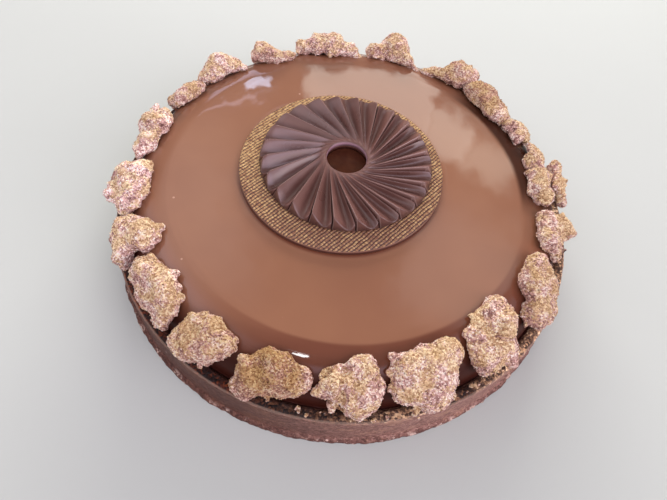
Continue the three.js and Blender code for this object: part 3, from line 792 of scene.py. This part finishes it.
def crust_piece(material):
    section = resampled(CRUST_SECTION, CRUST_STEP)
    angles = np.linspace(0, TAU, CRUST_SEGMENTS, endpoint=False)
    radius, height, lumpy, crumbly = (column[:, None] for column in section.T)
    points = polar(radius, angles, height)
    slope = np.gradient(section[:, :2], axis=0)
    slope /= np.linalg.norm(slope, axis=1, keepdims=True)
    out, up = slope[:, 1, None], -slope[:, 0, None]
    push = lumpy * layered_noise(points, CRUST_LUMPS) + crumbly * layered_noise(points, CRUST_CRUMBS)
    moved = polar(radius + out * push, angles, np.maximum(height + up * push, 0))
    skinned("crust_baked", moved, material, "crust", "crust", capped=True)


def glaze_height(out):
    """Height of the shoulder where this share of the way out, from 0 at its start to 1 at its foot."""
    drop = GLAZE["top"] - GLAZE["shoulder_foot"]
    return GLAZE["shoulder_foot"] + drop * (1 - out ** GLAZE["power"]) ** (1 / GLAZE["power"])


def glaze_piece(material):
    flat, edge = GLAZE["flat_radius"], GLAZE["radius"]
    turn = np.linspace(0, math.pi / 2, GLAZE["shoulder_rings"])
    out = np.cos(turn) ** (2 / GLAZE["power"])
    shoulder = np.column_stack([flat + (edge - flat) * out, glaze_height(out)])
    share = np.linspace(1, 0.01, GLAZE["top_rings"])[1:]
    flat_top = np.column_stack([flat * share, np.full(len(share), GLAZE["top"])])
    foot = [(edge, GLAZE["foot"]), (GLAZE["edge_radius"], GLAZE["shoulder_foot"] - 0.9),
            (GLAZE["edge_radius"] - 0.2, GLAZE["shoulder_foot"] + 0.1)]
    section = np.vstack([foot, shoulder, flat_top])
    angles = np.linspace(0, TAU, GLAZE["segments"], endpoint=False)
    points = polar(section[:, :1], angles, section[:, 1:])
    reach = np.clip(section[:, 0] / flat, 0, 1)[:, None]
    high = section[:, 1:] > GLAZE["shoulder_foot"] + 1
    ripple = GLAZE["ripple"] * noise(points, GLAZE["ripple_size"], 5) * (reach > GLAZE["ripple_from"])
    points[..., 2] += (GLAZE["crown"] * (1 - reach ** 2) + ripple) * high
    skinned("glaze_mirror", points, material, "milk_chocolate_glaze", "glazed_dome", capped=True)


def gold_disc_piece(material):
    x, y, radius, bottom, top, bevel, foot_bevel, segments = GOLD_DISC.values()
    angles = np.linspace(0, TAU, segments, endpoint=False)
    rim = [(radius - foot_bevel, bottom), (radius, bottom + foot_bevel)]
    rim += [(radius - bevel + math.cos(t) * bevel, top - bevel + math.sin(t) * bevel) for t in QUARTER_TURN]
    outer = [polar(r, angles, z, x, y) for r, z in rim]
    hole = polar(GOLD_DISC_HOLE, angles, 0.0, FLUTED_DISC["x"], FLUTED_DISC["y"])
    edge = outer[-1]
    inner = []
    for share in np.linspace(0, 1, 12)[1:]:
        ring = edge * (1 - share) + hole * share
        ring[:, 2] = top
        inner.append(ring)
    low = hole.copy()
    low[:, 2] = bottom
    rings = np.stack([low, *outer, *inner])
    skinned("gold_dusted_disc", rings, material, "gold_dusted_chocolate", "gold_disc")


def fluted_disc_piece(material):
    disc = FLUTED_DISC
    blades, rim, bottom = disc["blades"], disc["hole_rim"], disc["bottom"]
    lip, hole_lip = disc["lip"], disc["hole_lip"]
    share, heights, reaches = np.array(disc["blade"]).T
    scooped = np.interp(share, *zip(*disc["scooped"]))
    share, blade_height, reach, trough = (np.tile(row, blades) for row in (share, heights, reaches, scooped))
    blade = np.repeat(np.arange(blades), len(heights))
    bearing = math.radians(disc["ridge_bearing"]) + TAU / blades * (blade + share)
    end = disc["blade"][0][2]

    def turned(radius):
        """How far a ridge has turned, clockwise from its outer end."""
        start = math.acos(disc["swirl_radius"] / end)
        return start - np.arccos(np.minimum(1, disc["swirl_radius"] / radius))

    def ring(radius, height, swirled):
        radius = np.broadcast_to(radius, bearing.shape)
        angle = bearing - turned(radius) if swirled else bearing
        return polar(radius, angle, height, disc["x"], disc["y"])

    def top_at(radius):
        out = np.clip((radius - disc["flat_until"]) / (disc["full_from"] - disc["flat_until"]), 0, 1)
        scoop = disc["scoop"] * trough * math.sin(math.pi * float(out)) ** 0.7
        return rim + (blade_height - rim) * out ** 0.8 - scoop

    rings = [
        ring(disc["hole_radius"], bottom, True),
        ring(disc["foot_radius"] - 0.3, bottom, False),
        ring(disc["foot_radius"], bottom + 0.4, False),
    ]
    for turn in QUARTER_TURN:
        radius = reach - lip * (1 - math.cos(turn))
        rings.append(ring(radius, blade_height - lip * (1 - math.sin(turn)), False))
    for radius in np.linspace(end - 1.1, disc["first_ring"], disc["rings"]):
        rings.append(ring(radius, top_at(radius), True))
    for turn in np.linspace(0, math.pi / 2, 5):
        radius = disc["hole_radius"] + hole_lip * (1 - math.sin(turn))
        rings.append(ring(radius, rim - hole_lip * (1 - math.cos(turn)), True))
    skinned("fluted_chocolate_disc", np.stack(rings), material, "moulded_chocolate", "fluted_disc")


def pool_piece(material):
    """The glaze that shows at the bottom of the discs' hole."""
    radius, top, depth, hollow, segments, rings = HOLE_POOL.values()
    angles = np.linspace(0, TAU, segments, endpoint=False)
    section = [(radius, top - depth), (radius + 0.1, top)]
    section += [(radius * s, top - hollow * (1 - s ** 6)) for s in np.linspace(0.97, 0.05, rings)]
    rings = np.stack([polar(r, angles, z, FLUTED_DISC["x"], FLUTED_DISC["y"]) for r, z in section])
    skinned("hole_glaze", rings, material, "dark_chocolate", capped=True)


def crumble_tree():
    """Covers a closed mesh with grains."""
    tree, given, result = new_group(
        "Crumble",
        {"Geometry": GEOMETRY, "Grain Spacing": 0.0013, "Smallest": 0.00018, "Largest": 0.00045,
         "Seed": "NodeSocketInt", "Material": "NodeSocketMaterial"},
        {"Geometry": GEOMETRY},
        kind="GeometryNodeTree",
    )
    seed = given["Seed"]
    points = add("GeometryNodeDistributePointsOnFaces", {
        "Mesh": given["Geometry"], "Distance Min": given["Grain Spacing"], "Density Max": 2.0e6, "Seed": seed,
    }, distribute_method="POISSON")
    grain = add("GeometryNodeMeshIcoSphere", {"Radius": 1.0, "Subdivisions": 1}, tree)
    sizes = [add("ShaderNodeCombineXYZ", {axis: given[name] for axis in "XYZ"})[0]
             for name in ("Smallest", "Largest")]
    size = add("FunctionNodeRandomValue", {0: sizes[0], 1: sizes[1], "Seed": seed}, data_type="FLOAT_VECTOR")
    turn = add("FunctionNodeRandomValue", {0: (0, 0, 0), 1: (TAU, TAU, TAU), "Seed": seed},
               data_type="FLOAT_VECTOR")
    rotation = add("FunctionNodeEulerToRotation", {"Euler": turn[0]})
    grains = add("GeometryNodeInstanceOnPoints", {
        "Points": points["Points"], "Instance": grain["Mesh"], "Rotation": rotation[0], "Scale": size[0],
    })
    real = add("GeometryNodeRealizeInstances", {"Geometry": grains[0]})
    faceted = add("GeometryNodeSetShadeSmooth", {"Geometry": real[0], "Shade Smooth": False})
    joined = add("GeometryNodeJoinGeometry", {0: given["Geometry"]})
    feed(joined.node, {0: faceted[0]})
    dressed = add("GeometryNodeSetMaterial", {"Geometry": joined[0], "Material": given["Material"]})
    feed(result, {0: dressed[0]})
    return tree


def merged_copy(node, balls):
    """A copy of a node's mesh with its triangles joined at their corners, and balls added to it."""
    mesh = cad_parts[node].data.copy()
    shape = bmesh.new()
    shape.from_mesh(mesh)
    bmesh.ops.remove_doubles(shape, verts=shape.verts, dist=1e-6)
    middle = sum((vertex.co for vertex in shape.verts), Vector()) / len(shape.verts)
    for *place, radius in balls:
        place = Vector(place) * MM
        inwards = (middle - place).normalized()
        # The balls grow inwards, so that the nub has a root.
        for step in NUB_STEPS:
            at = Matrix.Translation(place + inwards * radius * step * MM)
            size = radius * (0.65 + 0.3 * step) * MM
            bmesh.ops.create_icosphere(shape, subdivisions=2, radius=size, matrix=at)
    shape.to_mesh(mesh)
    shape.free()
    mesh.materials.clear()
    return mesh


def roughened(mesh, notches, seed):
    """Cuts the notches into a fine mesh, and raises the lumps of the crumble."""
    points, normals = (np.empty(len(mesh.vertices) * 3) for _ in range(2))
    mesh.vertices.foreach_get("co", points)
    mesh.vertices.foreach_get("normal", normals)
    points, normals = points.reshape(-1, 3) / MM, normals.reshape(-1, 3)
    push = sum(height * noise(points, size, seed + 0.37 * layer)
               for layer, (size, height) in enumerate(CLUSTER_SWELLS))
    push = push + sum(height * (np.abs(noise(points, size, seed + 0.53 * layer)) - CREASE_LEVEL)
                      for layer, (size, height) in enumerate(CLUSTER_CRUMBS))
    for *centre, radius in notches:
        # A notch lies near the surface's nearest point, and a little towards its own place.
        nearest = points[((points - centre) ** 2).sum(axis=1).argmin()]
        offset = points - (0.8 * nearest + 0.2 * np.array(centre))
        radius *= NOTCH_GROWTH
        along = (offset * normals).sum(axis=1)
        inside = radius ** 2 - (offset ** 2).sum(axis=1)
        depth = along + np.sqrt(np.maximum(along ** 2 + inside, 0))
        push = push - np.where(inside > 0, np.minimum(depth, NOTCH_DEPTH * radius), 0)
    mesh.vertices.foreach_set("co", ((points + normals * push[:, None]) * MM).ravel())
    mesh.shade_smooth()


def made_plain(source, name):
    """The source with its modifiers worked out, as a plain mesh object. The source is removed."""
    bpy.context.view_layer.update()
    worked_out = source.evaluated_get(bpy.context.evaluated_depsgraph_get())
    mesh = bpy.data.meshes.new_from_object(worked_out)
    mesh.name = name
    bpy.data.objects.remove(source)
    return placed(bpy.data.objects.new(name, mesh))


def set_inputs(modifier, values):
    """Sets the inputs of a Geometry Nodes modifier by name."""
    for item in modifier.node_group.interface.items_tree:
        if item.in_out == "INPUT" and item.name in values:
            modifier[item.identifier] = values[item.name]


def cluster_piece(tree, node, number, material):
    """A cluster made of its node's mesh. Its number is also the seed of its lumps and grains."""
    source = placed(bpy.data.objects.new(node + "_source", merged_copy(node, NUBS.get(number, ()))))
    remesh = source.modifiers.new("even", "REMESH")
    remesh.mode = "VOXEL"
    remesh.voxel_size = CLUSTER_VOXEL * MM
    smooth = source.modifiers.new("soften", "SMOOTH")
    smooth.factor = CLUSTER_SOFTENING["factor"]
    smooth.iterations = CLUSTER_SOFTENING["iterations"]
    lump = made_plain(source, node + "_lump")
    roughened(lump.data, NOTCHES.get(number, ()), number)
    grains = lump.modifiers.new("grains", "NODES")
    grains.node_group = tree
    set_inputs(grains, {"Seed": number, "Material": material})
    finished(made_plain(lump, node.replace("crumble", "crumble_cluster")), "gilt_crumble", node)


def loose_crumbs_piece(material):
    """Crumbs on the rim: rough little lumps that sink a little into it."""
    shape = bmesh.new()
    for x, y, size in LOOSE_CRUMBS:
        at = Matrix.Translation((x, y, RIM_HEIGHT + 0.3 * size))
        made = bmesh.ops.create_icosphere(shape, subdivisions=2, radius=0.75 * size, matrix=at)
        for vertex in made["verts"]:
            push = float(0.9 * noise(np.array(vertex.co), 0.9, 9))
            vertex.co += (vertex.co - Vector((x, y, RIM_HEIGHT))) * push
    bmesh.ops.scale(shape, vec=(MM, MM, MM), verts=shape.verts)
    mesh = bpy.data.meshes.new("loose_crumbs")
    shape.to_mesh(mesh)
    shape.free()
    mesh.materials.append(material)
    finished(placed(bpy.data.objects.new("loose_crumbs", mesh)), "gilt_crumble")


# ---- camera, light and floor ----

def make_camera():
    pitch, yaw, roll = CAMERA["pitch"], CAMERA["yaw"], CAMERA["roll"]
    forward = Vector((math.sin(yaw) * math.cos(pitch), math.cos(yaw) * math.cos(pitch), -math.sin(pitch)))
    level = Vector((math.cos(yaw), -math.sin(yaw), 0))
    above = level.cross(forward)
    right = math.cos(roll) * level + math.sin(roll) * above
    up = math.cos(roll) * above - math.sin(roll) * level
    data = bpy.data.cameras.new("camera")
    data.lens = CAMERA["focal_pixels"] / CAMERA["image_width"] * data.sensor_width
    data.clip_start = 0.01
    camera = placed(bpy.data.objects.new("camera", data))
    camera.matrix_world = Matrix.Translation(Vector(CAMERA["place"]) * MM) @ Matrix(
        (right, up, -forward)).transposed().to_4x4()
    bpy.context.scene.camera = camera


def make_panel(name, bearing, elevation, distance, width, height, colour, radiance):
    """A soft panel that faces the tart. Its bearing and elevation are in degrees."""
    bearing, elevation = math.radians(bearing), math.radians(elevation)
    across = math.cos(elevation)
    towards = Vector((math.sin(bearing) * across, math.cos(bearing) * across, math.sin(elevation)))
    data = bpy.data.lights.new(name, "AREA")
    data.shape, data.size, data.size_y = "RECTANGLE", width, height
    data.color = colour
    data.energy = radiance * math.pi * width * height
    panel = placed(bpy.data.objects.new(name, data))
    panel.location = towards * distance
    panel.rotation_euler = (-towards).to_track_quat("-Z", "Y").to_euler()
    panel.visible_camera = panel.visible_glossy = False


def lit_patch_group():
    """How far a direction, given in degrees, lies inside a soft-edged patch of the room."""
    tree, given, result = new_group(
        "Lit patch",
        {"Bearing": FLOAT, "Elevation": FLOAT, "Middle Bearing": FLOAT, "Middle Elevation": FLOAT,
         "Half Width": 10.0, "Half Height": 10.0, "Softness": 2.0},
        {"Mask": FLOAT},
    )
    inside = []
    for angle, half in (("Bearing", "Half Width"), ("Elevation", "Half Height")):
        aside = maths("WRAP", given[angle] - given["Middle " + angle], 180.0, -180.0)
        beyond = abs(aside) - given[half]
        inside.append(fading(beyond / given["Softness"], -1, 1))
    feed(result, {"Mask": inside[0] * inside[1]})
    return tree


def make_room():
    """A dim even room with soft bright patches. What looks straight at it sees a plain backdrop."""
    world = bpy.data.worlds.new("room")
    world.use_nodes = True
    tree = world.node_tree
    direction = add("ShaderNodeTexCoord", {}, tree)["Generated"]
    ragged = add("ShaderNodeTexNoise", {"Vector": direction, "Scale": 24.0, "Detail": 3.0})["Color"]
    centred = vector_maths("SUBTRACT", ragged, (0.5, 0.5, 0.5))
    bent = vector_maths("MULTIPLY_ADD", centred, (ROOM_RAGGEDNESS,) * 3, direction)
    x, y, z = parts(vector_maths("NORMALIZE", bent))
    bearing = maths("DEGREES", maths("ARCTAN2", x, y))
    elevation = maths("DEGREES", maths("ARCSINE", z))
    patch_group = lit_patch_group()
    glow = tuple(c * ROOM_RADIANCE for c in ROOM_COLOUR)
    for aside, up, half_width, half_height, softness, colour, radiance in ROOM.values():
        inside = add("ShaderNodeGroup", {
            "Bearing": bearing, "Elevation": elevation, "Middle Bearing": aside, "Middle Elevation": up,
            "Half Width": half_width, "Half Height": half_height, "Softness": softness,
        }, node_tree=patch_group)["Mask"]
        glow = vector_maths("MULTIPLY_ADD", inside, tuple(c * radiance for c in colour), glow)
    straight = add("ShaderNodeLightPath", {}, tree)["Is Camera Ray"]
    backdrop = [c * BACKDROP_RADIANCE for c in ROOM_COLOUR] + [1.0]
    feed(tree.nodes["Background"], {"Color": mixed(straight, glow, backdrop)})
    bpy.context.scene.world = world


def make_floor(material):
    half = FLOOR_HALF
    corners = [(-half, -half, 0), (half, -half, 0), (half, half, 0), (-half, half, 0)]
    mesh = bpy.data.meshes.new("floor")
    mesh.from_pydata(corners, [], [(0, 1, 2, 3)])
    mesh.materials.append(material)
    placed(bpy.data.objects.new("floor", mesh))


# ---- the scene ----

bpy.context.scene.view_settings.view_transform = "Standard"
make_camera()
make_room()
make_panel("back_panel", **BACK_PANEL)
make_floor(floor_material())

crust_piece(crust_material())
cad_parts["filling"].data.materials.clear()
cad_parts["filling"].data.materials.append(filling_material())
glaze_piece(mirror_glaze_material())
gold_disc_piece(gold_disc_material())
fluted_disc_piece(moulded_material())
pool_piece(pool_material())
crumble, crumble_nodes = crumble_material(), crumble_tree()
for number, cluster in enumerate(CLUSTERS, start=1):
    cluster_piece(crumble_nodes, cluster, number, crumble)
loose_crumbs_piece(crumble)
